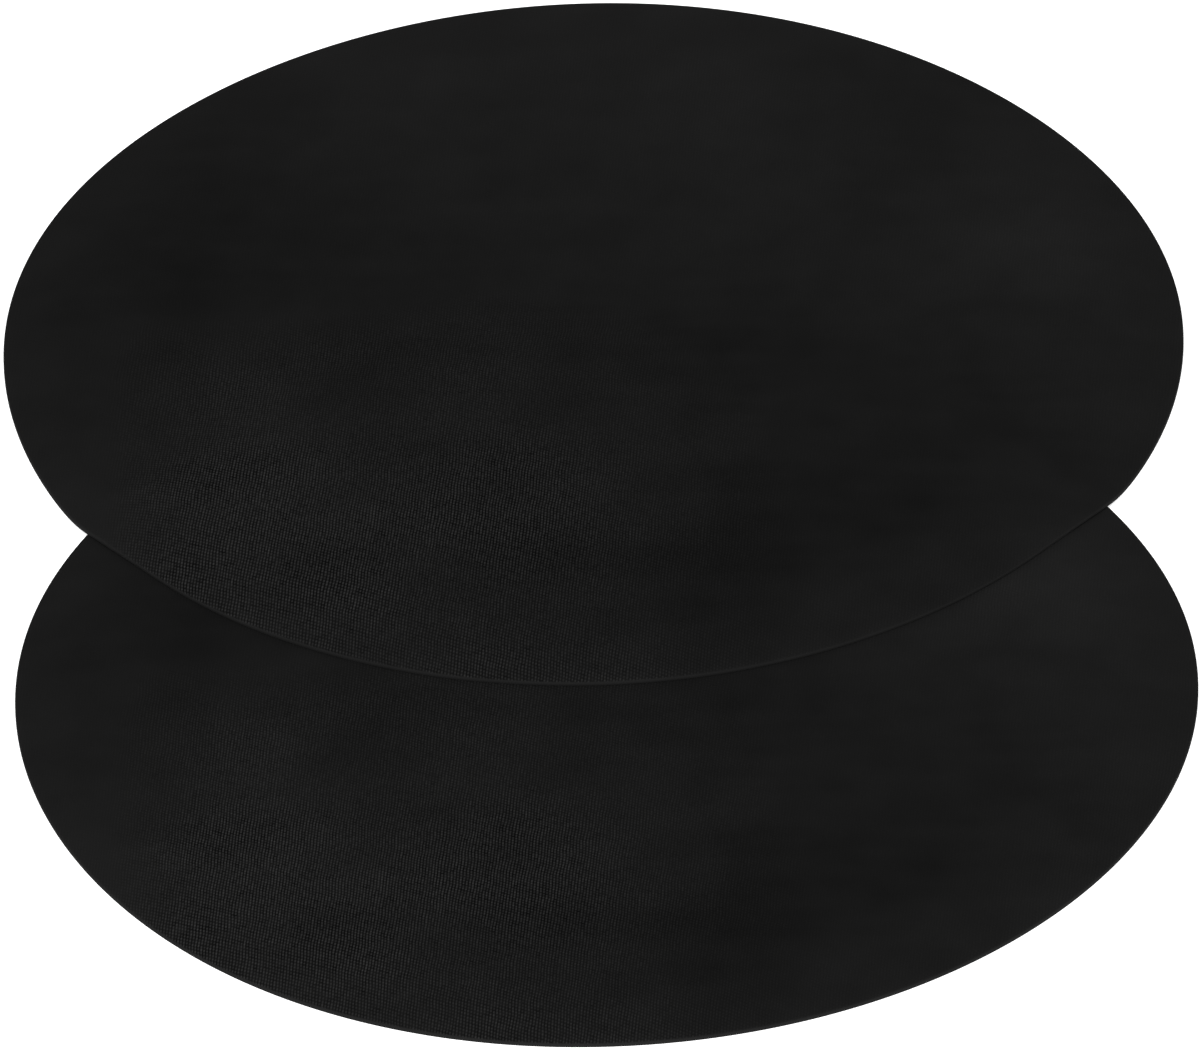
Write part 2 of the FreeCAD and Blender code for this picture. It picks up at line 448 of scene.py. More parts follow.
@dataclass(frozen=True)
class Finishes:
    """One material of each finish, shared by both covers."""

    cloth: bpy.types.Material
    tape: bpy.types.Material
    thread: bpy.types.Material
    cord: bpy.types.Material
    barrel: bpy.types.Material
    button: bpy.types.Material
    eyelet: bpy.types.Material
    spring: bpy.types.Material

    @classmethod
    def mixed(cls, cord_length: float) -> "Finishes":
        """Makes every material.

        Args:
            cord_length: The drawcord's length, in metres.

        Returns:
            The finishes.
        """
        return cls(
            cloth=RibbedCloth().material(),
            tape=WovenTape().material(),
            thread=Thread().material(),
            cord=BraidedCord(cord_length).material(),
            barrel=MouldedPlastic("lock_acetal", 0.5, 0.03 * MM).material(),
            button=MouldedPlastic("button_acetal", 0.3, 0.012 * MM).material(),
            eyelet=Steel("blackened_steel", (0.07, 0.07, 0.074)).material(),
            spring=Steel("spring_steel", (0.62, 0.62, 0.63), 0.2).material(),
        )


# ---------------------------------------------------------------- where a cover lies


@dataclass(frozen=True)
class Layers:
    """Heights and thicknesses of a cover's layers, above what it lies on."""

    cloth: float = 0.8 * MM
    skirt: float = 1.1 * MM
    tape: float = 0.6 * MM
    binding: float = 1.2 * MM
    inner_z: float = 1.3 * MM  # where the pieces on the folded skirt lie
    rim_z: float = 1.9 * MM  # underside of the face at its rim
    rise: float = 8.9 * MM  # how far the face stands above its rim
    lip_z: float = 0.03 * MM  # how far down the turned rim reaches, outside the skirt's fold
    level_share: float = 290 / 350  # inside this share of the radius the face is level
    skirt_cut: float = 185 * MM  # how deep the skirt's cloth is cut
    hem_r: float = 166 * MM  # the tunnel's middle
    tunnel_r: float = 2.7 * MM
    tunnel_z: float = 2.8 * MM
    skirt_inner_r: float = 168.4 * MM


@dataclass(frozen=True)
class Site:
    """Where one cover lies, and what it lies on."""

    name: str
    centre: Vector
    radius: float
    under: Vector  # centre of the cover that it may lie on
    raised: float  # how high it lies on that cover; 0 on the floor
    bulge: tuple[float, float]  # its cut's wider or narrower side: share of the radius, and angle in degrees
    pucker: float = 0.7 * MM  # how high the cloth puckers where it comes down over the other cover's rim
    puckers: float = 6.5  # how many puckers there are to a radian
    settled: float = 0.3 * MM  # how much closer the soft covers lie than their solids
    reach: float = 0.024  # how much further forward the raised edge is pulled, as a share of the radius
    # How the cut departs from a true circle: how many lobes, share of the radius, and angle in degrees.
    lobes: tuple[tuple[int, float, float], ...] = ((3, 0.0026, -19), (4, 0.0032, -50), (5, 0.001, 61))

    @classmethod
    def of(cls, name: str) -> "Site":
        """Reads a cover's place from the frame.

        Args:
            name: The cover's name, front or rear.

        Returns:
            Its site.
        """
        low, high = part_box(f"{name}_face_panel")
        front_low, front_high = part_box("front_face_panel")
        centre = (low + high) / 2
        under = (front_low + front_high) / 2
        raised = max(0.0, high.z - front_high.z - cls.settled)
        bulge = (0.009, -160.0) if raised else (-0.008, 170.0)
        return cls(name, Vector((centre.x, centre.y, 0)), (high.x - low.x) / 2, under, raised, bulge)

    def ground(self, x: float, y: float) -> float:
        """Height of what lies under a point.

        Args:
            x: From the cover's centre, in metres.
            y: From the cover's centre, in metres.

        Returns:
            The height, with small puckers where the cloth comes down over the other cover's rim.
        """
        if not self.raised:
            return 0.0
        away = Vector((x + self.centre.x - self.under.x, y + self.centre.y - self.under.y, 0))
        far, level = away.length, Layers.level_share * self.radius
        foot = self.raised - Layers.rise
        landing = 6 * foot * (self.radius - level) / (math.pi * Layers.rise)
        if far < self.radius:
            share = min(1.0, (self.radius - far) / (self.radius - level))
            fall = foot + Layers.rise * math.sin(share * math.pi / 2)
        else:
            fall = foot * max(0.0, 1 - (far - self.radius) / landing) ** 3
        fall -= dent(away.x, away.y, self.radius)
        share = min(1.0, max(0.0, (far - level) / (self.radius + landing - level)))
        round_it = away.normalized() * self.puckers
        folds = 0.5 + 0.5 * noise.noise(round_it + Vector((3.1, 0, 4.0)))
        return fall + self.pucker * folds * math.sin(math.pi * share) ** 2

    def cut(self, x: float, y: float) -> float:
        """How much the cloth's slightly uneven cut moves a point outwards.

        Args:
            x: From the cover's centre, in metres.
            y: From the cover's centre, in metres.

        Returns:
            The move, as a share of the point's distance from the centre.
        """
        angle, far = math.atan2(y, x), math.hypot(x, y)
        wave = sum(size * math.cos(count * angle - math.radians(turn)) for count, size, turn in self.lobes)
        wave += self.bulge[0] * max(0.0, math.cos(angle - math.radians(self.bulge[1]))) ** 3
        wave *= smooth(far, 0.6 * self.radius, self.radius)
        pull = self.reach * max(0.0, -math.sin(angle)) ** 2 if self.raised else 0.0
        return wave + pull * smooth(far, 0.5 * self.radius, self.radius)

    def place(self, point: Vector) -> Vector:
        """Where a point of the cover lies.

        Args:
            point: From the cover's centre, and above what it lies on.

        Returns:
            The point in the CAD frame.
        """
        grown = 1 + self.cut(point.x, point.y)
        x, y = point.x * grown, point.y * grown
        return Vector((x + self.centre.x, y + self.centre.y, point.z + self.ground(x, y)))


# ---------------------------------------------------------------- mesh work


def bend(middle: tuple[float, float], reach: tuple[float, float], start: int, end: int,
         steps: int) -> list[tuple[float, float]]:
    """A rounded bend of a cross-section.

    Args:
        middle: Radius and height of its middle.
        reach: How far it stands out from there, sideways and upwards.
        start: Where it starts, in degrees up from straight outwards.
        end: Where it ends, likewise.
        steps: How many straight lengths it has.

    Returns:
        Radius and height of each of its points.
    """
    turns = [math.radians(start + (end - start) * i / steps) for i in range(steps + 1)]
    return [(middle[0] + reach[0] * math.cos(turn), middle[1] + reach[1] * math.sin(turn)) for turn in turns]


def placed(mesh: bpy.types.Mesh, material: bpy.types.Material) -> bpy.types.Object:
    """Makes a smooth object of a mesh, at the origin, and reports it.

    Args:
        mesh: The mesh.
        material: Its material.

    Returns:
        The object.
    """
    mesh.materials.append(material)
    mesh.shade_smooth()
    made = bpy.data.objects.new(mesh.name, mesh)
    bpy.context.scene.collection.objects.link(made)
    LOG.info("%s: %d faces", made.name, len(mesh.polygons))
    return made


class Work:
    """A piece being made: its mesh, and how far along the cloth each point is from the middle."""

    def __init__(self) -> None:
        """Starts an empty mesh with its layers."""
        self.bm = bmesh.new()
        self.along = self.bm.verts.layers.float.new("along")

    def outline(self, points: list[tuple[float, float]], closed: bool) -> list[bmesh.types.BMEdge]:
        """Draws a cross-section in the XZ plane.

        Args:
            points: Radius and height of each point.
            closed: Whether the last joins the first.

        Returns:
            Its edges.
        """
        verts, run = [], 0.0
        for i, (radius, height) in enumerate(points):
            vert = self.bm.verts.new((radius, 0, height))
            step = math.dist(points[i], points[i - 1]) if i else radius
            outwards = i == 0 or radius >= points[i - 1][0] - ROUNDING
            run = run + step if outwards else run - step
            vert[self.along] = run
            verts.append(vert)
        pairs = list(zip(verts, verts[1:])) + ([(verts[-1], verts[0])] if closed else [])
        return [self.bm.edges.new(pair) for pair in pairs]

    def around(self, angle: float, steps: int, copies: bool, geom: list[object]) -> None:
        """Spins geometry about the cover's axis.

        Args:
            angle: How far, in radians.
            steps: How many faces or copies.
            copies: Whether to leave turned copies, or to draw faces between.
            geom: What to spin.
        """
        bmesh.ops.spin(self.bm, geom=geom, cent=(0, 0, 0), axis=UP, dvec=(0, 0, 0), angle=angle, steps=steps,
                       use_merge=False, use_duplicate=copies)

    def spin(self, edges: list[bmesh.types.BMEdge], angle: float, steps: int) -> None:
        """Turns a cross-section about the cover's axis, as one sector and its turned copies.

        Args:
            edges: The cross-section.
            angle: How far, in radians.
            steps: How many faces in each of the SECTORS.
        """
        verts = dict.fromkeys(vert for edge in edges for vert in edge.verts)
        sector = angle / SECTORS
        self.around(sector, steps, False, [*verts, *edges])
        self.repeat(sector, SECTORS)
        bmesh.ops.remove_doubles(self.bm, verts=self.bm.verts, dist=MERGE)

    def repeat(self, angle: float, count: int) -> None:
        """Repeats all that there is about the cover's axis.

        Args:
            angle: Between one and the next, in radians.
            count: How many there are then.
        """
        self.around(angle * (count - 1), count - 1, True, [*self.bm.verts, *self.bm.edges, *self.bm.faces])

    def close(self) -> None:
        """Fills the open ends."""
        rims = [edge for edge in self.bm.edges if edge.is_boundary]
        if rims:
            bmesh.ops.holes_fill(self.bm, edges=rims, sides=0)

    def turn(self, angle: float) -> None:
        """Turns everything about the cover's axis, in radians."""
        bmesh.ops.rotate(self.bm, verts=self.bm.verts, cent=(0, 0, 0), matrix=Matrix.Rotation(angle, 3, "Z"))

    def shift(self, move: Callable[[Vector], Vector]) -> None:
        """Moves every point by a function of its place."""
        for vert in self.bm.verts:
            vert.co = move(vert.co)

    def paint(self, name: str, value: Callable[[Vector], float]) -> None:
        """Stores a value at every point, from its place.

        Args:
            name: The attribute's name.
            value: Gives the value at a point.
        """
        layer = self.bm.verts.layers.float.get(name) or self.bm.verts.layers.float.new(name)
        for vert in self.bm.verts:
            vert[layer] = value(vert.co)

    def weave(self, flat: Callable[[bmesh.types.BMVert], tuple[float, float]]) -> None:
        """Lays the weave's UV map.

        Args:
            flat: Gives a point's place on the flat cloth, in metres.
        """
        uv = self.bm.loops.layers.uv.new(WEAVE)
        for face in self.bm.faces:
            for loop in face.loops:
                loop[uv].uv = flat(loop.vert)

    def finish(self, name: str, material: bpy.types.Material) -> bpy.types.Object:
        """Turns the mesh into an object.

        Args:
            name: The object's name.
            material: Its material.

        Returns:
            The object.
        """
        bmesh.ops.recalc_face_normals(self.bm, faces=self.bm.faces)
        mesh = bpy.data.meshes.new(name)
        self.bm.to_mesh(mesh)
        self.bm.free()
        return placed(mesh, material)


def joined(piece: bpy.types.Object, body: str, slot: str, *nodes: str) -> bpy.types.Object:
    """Puts a finished piece on its body.

    Args:
        piece: The piece.
        body: The CAD body that it rides on.
        slot: Not used.
        *nodes: The CAD nodes that it stands for.

    Returns:
        The piece.
    """
    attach(piece, body)
    if nodes:
        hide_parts(*nodes)
    return piece


def on_cover(site: Site, work: Work, part: str, material: bpy.types.Material, slot: str,
             *nodes: str) -> bpy.types.Object:
    """Finishes a piece, and puts it on its cover.

    Args:
        site: The cover's place.
        work: The piece being made.
        part: The piece's name after the cover's.
        material: Its material.
        slot: A material slot's name, passed on to joined().
        *nodes: The CAD nodes that it stands for, named after the cover's name.

    Returns:
        The piece.
    """
    piece = work.finish(f"{site.name}_{part}", material)
    return joined(piece, f"{site.name}_cover", slot, *(f"{site.name}_{node}" for node in nodes))


def polar(vert: bmesh.types.BMVert, layer: bmesh.types.BMLayerItem) -> tuple[float, float]:
    """A point's place on a round cut of cloth: its direction, at its distance along the cloth.

    Args:
        vert: The point.
        layer: The mesh's layer of distances along the cloth.

    Returns:
        Its place on the flat cloth, in metres.
    """
    radius = math.hypot(vert.co.x, vert.co.y)
    share = vert[layer] / radius if radius > MERGE else 0.0
    return vert.co.x * share, vert.co.y * share


def leaning(flat: tuple[float, float], lean: float) -> tuple[float, float]:
    """A point of the flat cloth, in the leaning frame of its ribs."""
    return flat[0] - lean * flat[1], flat[1] + lean * flat[0]


# ---------------------------------------------------------------- the cloth


@dataclass(frozen=True)
class Patch:
    """A soft spot on the face, from the cover's centre, in metres. pale is below 0 for a dark one."""

    x: float
    y: float
    radius: float
    pale: float

    def at(self, point: Vector) -> float:
        """How pale it makes a point."""
        far = math.hypot(point.x - self.x, (point.y - self.y) * 0.8) / self.radius
        return self.pale * math.exp(-far * far)


@dataclass(frozen=True)
class FacePanel:
    """The round face: one sheet, level in the middle, rounded down to a turned rim."""

    site: Site
    layers: Layers
    steps: int = 18
    rings: int = 74
    bead: float = 1.6 * MM  # radius of the rim's rounded top
    fold: float = 0.15 * MM  # how deep the rim's lower edge is rounded
    lean: float = 0.093  # how far the ribs lean off the front-to-rear line
    rib_least: float = 0.1  # how far they stand out where they show least
    crease: float = 0.7 * MM  # width of the pale turned edge, which is worn and painted with light
    painted_light_side: float = math.radians(-35)  # the direction in which the rim's wall is painted palest, as if lit from there
    worn: tuple[float, float] = (0.28, 0.35)  # how much paler the rim's top is, and how unevenly: wear, with a painted highlight along the rounded edge
    rubbed: tuple[float, float] = (0.2, 0.55)  # painted light: how much paler the rim's wall, which lies in shade, is painted, all round and more towards one side
    handled: float = 0.08  # how much paler the cloth is beside the rim
    plain: float = 0.98  # how pale the rest is
    cloudy: tuple[tuple[float, float], ...] = ((11.0, 0.16), (27.0, 0.14), (60.0, 0.08))
    streaks: tuple[float, float, float] = (14.0, 90.0, 0.07)  # how many a metre each way, and how strong
    patches: tuple[Patch, ...] = (
        Patch(-0.12, 0.27, 0.06, 0.2),
        Patch(0.01, 0.275, 0.07, 0.34),
        Patch(0.13, 0.25, 0.08, 0.24),
        Patch(0.12, 0.1, 0.06, 0.16),
        Patch(-0.25, 0.2, 0.05, 0.15),
        Patch(-0.03, -0.2, 0.06, 0.16),
        Patch(0.265, 0.1, 0.08, 0.42),
        Patch(0.2, 0.14, 0.06, -0.2),
        Patch(0.0, 0.15, 0.05, -0.1),
        Patch(-0.2, -0.045, 0.035, 0.24),
        Patch(-0.14, -0.02, 0.06, -0.16),
        Patch(-0.26, -0.1, 0.05, -0.2),
        Patch(-0.215, -0.175, 0.1, 0.34),
        Patch(-0.25, 0.08, 0.075, -0.3),
        Patch(0.08, -0.25, 0.08, -0.34),
        Patch(0.15, -0.12, 0.09, -0.14),
        Patch(0.2, -0.18, 0.05, -0.16),
        Patch(0.08, -0.03, 0.07, -0.2),
    )

    def underside(self, radius: float) -> float:
        """How high the face lies.

        Args:
            radius: Where to read it.

        Returns:
            The height of the cloth's underside there.
        """
        full, level = self.site.radius, self.layers.level_share * self.site.radius
        share = min(1.0, (full - radius) / (full - level))
        return self.layers.rim_z + self.layers.rise * math.sin(share * math.pi / 2)

    def section(self) -> list[tuple[float, float]]:
        """The cross-section.

        Returns:
            Radius and height of each point, from the middle of the top, round the rim, to the middle below.
        """
        cloth, lip = self.layers.cloth, self.layers.cloth / 2
        last, inner = self.site.radius - self.bead, self.site.radius - cloth
        shares = [i / self.rings for i in range(self.rings + 1)]
        top = [(last * share, self.underside(last * share) + cloth) for share in shares[:-1]]
        bead = bend((last, self.underside(last) + cloth - self.bead), (self.bead, self.bead), 90, 0, 6)
        edge = bend((inner + lip, self.layers.lip_z + self.fold), (lip, self.fold), 0, -180, 6)
        low = [(inner * share, self.underside(inner * share)) for share in reversed(shares)]
        return top + bead + edge + low

    def rim(self, point: Vector, start: float, end: float = 0.0) -> float:
        """A soft step towards the rim.

        Args:
            point: Where to read it, from the cover's centre.
            start: Where it is still 0, in creases inside the rim.
            end: Where it has reached 1, likewise.

        Returns:
            0 to 1.
        """
        outer, far = self.site.radius, math.hypot(point.x, point.y)
        return smooth(far, outer - start * self.crease, outer - end * self.crease)

    def nap_and_painted_light(self, point: Vector) -> float:
        """How pale the cloth is: soft patches, cross streaks, and a pale turned edge, whose top is worn and
        has a painted highlight and whose wall, in shade, is painted paler.

        Args:
            point: The point, from the cover's centre.

        Returns:
            About 1 on average.
        """
        spot = Vector((point.x, point.y, 1.7))
        wide, long, strength = self.streaks
        streak = strength * noise.noise(Vector((point.x * wide, point.y * long, 2.3)))
        # Painted light: the rim's wall is painted paler, most towards one side, and the rim's top carries
        # wear and a painted highlight.
        side = max(0.0, math.cos(math.atan2(point.y, point.x) - self.painted_light_side))
        top = self.worn[0] + self.worn[1] * noise.noise(spot.normalized() * 4.0)
        wall = self.rubbed[0] + self.rubbed[1] * side**2
        edge = top * self.rim(point, 1.0, 0.3) + wall * self.rim(point, 0.5)
        edge += self.handled * self.rim(point, 10.0)
        patches = sum(patch.at(point) for patch in self.patches)
        return self.plain + clouds(spot, self.cloudy) + streak + edge + patches

    def ribs(self, point: Vector) -> float:
        """How far the ribs stand out, in relief and in painted light and shade: most on the front left of
        the face, where they are painted as if a light from there caught them.

        Args:
            point: The point, from the cover's centre.

        Returns:
            rib_least to about 1, and 0 on the turned rim.
        """
        spot = Vector((point.x, point.y, 5.2))
        # Painted light: the ribs are made to show most on the front left, as a raking light from there would
        # show them.
        fore = -point.y
        front_half = smooth(fore + 0.02 * noise.noise(spot * 9.0), -0.06, 0.04)
        front_most = (0.6 + 0.4 * smooth(fore, 0.09, 0.16)) * (1 - 0.3 * smooth(fore, 0.24, 0.31))
        strong = 0.72 * (1 - smooth(point.x + 0.03 * noise.noise(spot * 7.0), -0.05, 0.09))
        faint = 0.28 * (1 - smooth(point.x, 0.06, 0.15))
        left = smooth(point.x, -0.31, -0.23) * (strong + faint)
        uneven = 1 + 0.4 * noise.noise(spot * 16.0)
        flat = 1 - self.rim(point, 1.0, 0.3)
        return flat * max(self.rib_least, front_half * front_most * left * uneven)

    def build(self, finishes: Finishes) -> bpy.types.Object:
        """Makes the face.

        Args:
            finishes: The materials.

        Returns:
            The face, standing for its CAD node.
        """
        work = Work()
        work.spin(work.outline(self.section(), closed=False), 2 * math.pi, self.steps)
        work.close()
        work.weave(lambda vert: leaning(polar(vert, work.along), self.lean))
        work.paint(NAP_AND_PAINTED_LIGHT, self.nap_and_painted_light)
        work.paint(RIB_AND_PAINTED_LIGHT, self.ribs)
        work.shift(lambda point: self.site.place(point - UP * dent(point.x, point.y, self.site.radius)))
        return on_cover(self.site, work, "face_cloth", finishes.cloth, "cover_cloth", "face_panel")


@dataclass(frozen=True)
class Gathers:
    """How the skirt's cloth is gathered: not at all at the rim, and most at the hem."""

    count: int = 66
    height: float = 5.2 * MM
    none_r: float = 335 * MM  # outside this radius there are none
    full_r: float = 200 * MM  # and inside this one they are full
    puffed_r: float = 188 * MM  # the hem tape holds them flat inside this radius
    sewn_r: float = 171 * MM

    def height_at(self, point: Vector) -> float:
        """How far the gathers lift the folded skirt, as leaning folds of uneven size.

        Args:
            point: The point, from the cover's centre.

        Returns:
            The lift, in metres.
        """
        radius, angle = math.hypot(point.x, point.y), math.atan2(point.y, point.x)
        round_it = Vector((math.cos(angle), math.sin(angle), 0))
        sway = 0.9 * noise.noise(round_it * 3.0 + UP * radius * 9.0)
        turn = self.count * angle + 2 * sway
        fold = 0.5 + 0.5 * math.sin(turn + 0.7 * math.sin(turn))
        size = 0.75 + 0.4 * noise.noise(round_it * 9.0)
        held = smooth(radius, self.sewn_r, self.puffed_r) * (1 - smooth(radius, self.full_r, self.none_r))
        return self.height * fold * size * held

    def raised(self, point: Vector) -> Vector:
        """The point, lifted with the gathers."""
        return point + UP * self.height_at(point)


@dataclass(frozen=True)
class Skirt:
    """The skirt, folded flat under the face: a gathered half ring each side."""

    site: Site
    layers: Layers
    gathers: Gathers
    steps: int = 20
    rings: int = 34
    inside: float = 1.15  # how far inside the face's rim its fold lies, in thicknesses of the face
    seam: float = 0.1 * MM  # the gap between the halves, which the seam tapes cover
    rib: float = 0.45  # how far its ribs stand out, in relief and in painted light and shade

    def section(self) -> list[tuple[float, float]]:
        """The cross-section of one half, with a rounded fold at the rim.

        Returns:
            Radius and height of each point.
        """
        inner, thick = self.layers.skirt_inner_r, self.layers.skirt
        end = self.site.radius - self.inside * self.layers.cloth - thick / 2
        radii = [inner + (end - inner) * i / self.rings for i in range(self.rings)]
        fold = bend((end, thick / 2), (thick / 2, thick / 2), -90, 90, 8)
        return [(r, 0.0) for r in radii] + fold + [(r, thick) for r in reversed(radii)]

    def nap_and_painted_light(self, point: Vector) -> float:
        """How pale the cloth is, 1 on average, and more at the fold, which is painted paler to stand in for
        light on it.
        """
        inwards = self.site.radius - math.hypot(point.x, point.y)
        # Painted light: the last few millimetres at the fold are painted paler.
        return 1.05 + 0.5 * smooth(-inwards, -3 * MM, -1 * MM) + 0.25 * noise.noise(point * 12.0)

    def build(self, side: Side, finishes: Finishes) -> bpy.types.Object:
        """Makes one half.

        Args:
            side: Which half.
            finishes: The materials.

        Returns:
            The half, standing for its CAD node.
        """
        seam = self.seam / self.layers.skirt_inner_r
        work = Work()
        work.spin(work.outline(self.section(), closed=True), math.pi - seam, self.steps)
        work.close()
        work.turn(seam / 2 - side.value * math.pi / 2)
        work.weave(lambda vert: (math.atan2(vert.co.y, vert.co.x * side.value) * self.site.radius,
                                 math.hypot(vert.co.x, vert.co.y)))
        work.paint(NAP_AND_PAINTED_LIGHT, self.nap_and_painted_light)
        work.paint(RIB_AND_PAINTED_LIGHT, lambda point: self.rib)
        work.shift(lambda point: self.site.place(self.gathers.raised(point)))
        half = f"skirt_{side.name.lower()}"
        return on_cover(self.site, work, f"{half}_cloth", finishes.cloth, "cover_cloth", half)


@dataclass(frozen=True)
class RimBinding:
    """The bound seam allowance inside the rim."""

    site: Site
    layers: Layers
    inner_r: float = 338 * MM
    outer_r: float = 347 * MM
    steps: int = 15

    def build(self, finishes: Finishes) -> bpy.types.Object:
        """Makes the binding.

        Args:
            finishes: The materials.

        Returns:
            The binding, standing for its CAD node.
        """
        end = self.layers.binding / 2
        middle = self.layers.inner_z + end
        outer = bend((self.outer_r - end, middle), (end, end), -90, 90, 6)
        inner = bend((self.inner_r + end, middle), (end, end), 90, 270, 6)
        work = Work()
        work.spin(work.outline(outer + inner, closed=True), 2 * math.pi, self.steps)
        work.close()
        work.weave(lambda vert: (math.atan2(vert.co.y, vert.co.x) * self.site.radius, vert[work.along]))
        work.shift(self.site.place)
        return on_cover(self.site, work, "rim_binding_tape", finishes.tape, "binding_tape", "rim_binding")


@dataclass(frozen=True)
class SeamTapes:
    """The tapes over the skirt's two seams, which follow its gathers."""

    site: Site
    layers: Layers
    gathers: Gathers
    inner_r: float = 181 * MM
    outer_r: float = 334 * MM
    width: float = 14 * MM

    def build(self, finishes: Finishes) -> bpy.types.Object:
        """Makes both tapes.

        Args:
            finishes: The materials.

        Returns:
            The tapes, standing for their CAD node.
        """
        work = Work()
        length, middle = self.outer_r - self.inner_r, (self.outer_r + self.inner_r) / 2
        for side in Side:
            place = Matrix.Translation((0, side.value * middle, self.layers.inner_z))
            size = Matrix.Diagonal((self.width / 2, length / 2, 1, 1))
            bmesh.ops.create_grid(work.bm, x_segments=8, y_segments=90, size=1.0, matrix=place @ size)
        work.weave(lambda vert: (vert.co.y, vert.co.x))
        bmesh.ops.solidify(work.bm, geom=work.bm.faces[:], thickness=-self.layers.tape)
        work.shift(lambda point: self.site.place(self.gathers.raised(point)))
        return on_cover(self.site, work, "skirt_seam_tape_pair", finishes.tape, "binding_tape",
                        "skirt_seam_tapes")


@dataclass(frozen=True)
class HemCasing:
    """The gathered tape tunnel round the hem, open where the cord comes out, and its sewn flange."""

    site: Site
    layers: Layers
    gathers: Gathers
    exit_x: float = 24 * MM  # half the opening where the cord comes out
    flange_r: float = 178 * MM
    wall: float = 0.5 * MM
    ruffles: int = 210  # all round
    ruffle: float = 0.34 * MM  # how deep they are

    def ruffled(self, point: Vector) -> Vector:
        """Pulls a point of the tunnel in with its fine ruffles.

        Args:
            point: The point, from the cover's centre.

        Returns:
            The point where it then is.
        """
        angle = math.atan2(point.y, point.x)
        outwards = Vector((math.cos(angle), math.sin(angle), 0))
        axis = outwards * self.layers.hem_r + UP * self.layers.tunnel_z
        turn = self.ruffles * angle + 2.5 * noise.noise(outwards * 14)
        out = (point - axis).normalized()
        return point + out * (self.ruffle * (math.sin(turn) * 0.5 - 0.5))

    def tunnel(self) -> Work:
        """The tunnel's outer face.

        Returns:
            A run of tube, open at both ends.
        """
        gap, radius = math.asin(self.exit_x / self.layers.hem_r), self.layers.tunnel_r
        work = Work()
        centre = Vector((self.layers.hem_r, 0, self.layers.tunnel_z))
        upright = Matrix.Translation(centre) @ Matrix.Rotation(math.pi / 2, 4, "X")
        ring = bmesh.ops.create_circle(work.bm, segments=18, radius=radius, matrix=upright)["verts"]
        for vert in ring:
            vert[work.along] = math.atan2(vert.co.z - centre.z, vert.co.x - centre.x) * radius
        edges = list(dict.fromkeys(edge for vert in ring for edge in vert.link_edges))
        work.spin(edges, 2 * (math.pi - gap), 55)
        work.turn(math.pi / 2 + gap)
        return work

    def flange(self) -> Work:
        """The flat of the tape, sewn on the skirt and turned up to the tunnel.

        Returns:
            A flat ring.
        """
        low, thick = self.layers.inner_z, self.layers.tape
        inner = self.layers.hem_r + self.layers.tunnel_r
        lip_top, lip_foot = (inner - 0.5 * MM, low + 1.3 * MM), (inner - 0.7 * MM, low + 0.9 * MM)
        top = [(inner + 0.6 * MM, low + thick), (self.flange_r, low + thick)]
        foot = [(self.flange_r, low), (inner + 0.4 * MM, low)]
        section = [lip_top, *top, *foot, lip_foot]
        work = Work()
        work.spin(work.outline(section, closed=True), 2 * math.pi, 36)
        work.close()
        return work

    def build(self, finishes: Finishes) -> list[bpy.types.Object]:
        """Makes the tunnel and its flange.

        Args:
            finishes: The materials.

        Returns:
            The tunnel, which stands for the CAD node, and the flange.
        """
        made = []
        for work, part, move, nodes in ((self.tunnel(), "tunnel", self.ruffled, ("hem_casing",)),
                                        (self.flange(), "flange", self.gathers.raised, ())):
            work.weave(lambda vert: (math.atan2(vert.co.y, vert.co.x) * self.layers.hem_r, vert[work.along]))
            work.shift(lambda point: self.site.place(move(point)))
            made.append(on_cover(self.site, work, f"hem_{part}", finishes.tape, "binding_tape", *nodes))
        thicken = made[0].modifiers.new("wall", "SOLIDIFY")
        thicken.thickness = self.wall
        thicken.offset = -1
        return made


@dataclass(frozen=True)
class Stitching:
    """Rows of lockstitch through the flange and skirt."""

    site: Site
    layers: Layers
    gathers: Gathers
    rows: tuple[float, ...] = (171.5 * MM, 176 * MM)
    count: int = 15  # in each row of each of the SECTORS
    stitch: float = 2.6 * MM
    thick: float = 0.36 * MM

    def build(self, finishes: Finishes) -> bpy.types.Object:
        """Makes every stitch, above the flange and under the skirt.

        Args:
            finishes: The materials.

        Returns:
            The stitches, as one piece.
        """
        work = Work()
        size = Matrix.Diagonal((self.thick, self.stitch, self.thick, 1))
        for radius in self.rows:
            for height in (self.layers.inner_z + self.layers.tape, 0.0):
                at = Matrix.Translation((radius, 0, height))
                bmesh.ops.create_icosphere(work.bm, subdivisions=1, radius=0.5, matrix=at @ size)
        work.repeat(2 * math.pi / (SECTORS * self.count), self.count)
        work.repeat(2 * math.pi / SECTORS, SECTORS)
        work.shift(lambda point: self.site.place(self.gathers.raised(point)))
        return on_cover(self.site, work, "hem_stitches", finishes.thread, "binding_tape")


# ---------------------------------------------------------------- the cord and its fittings


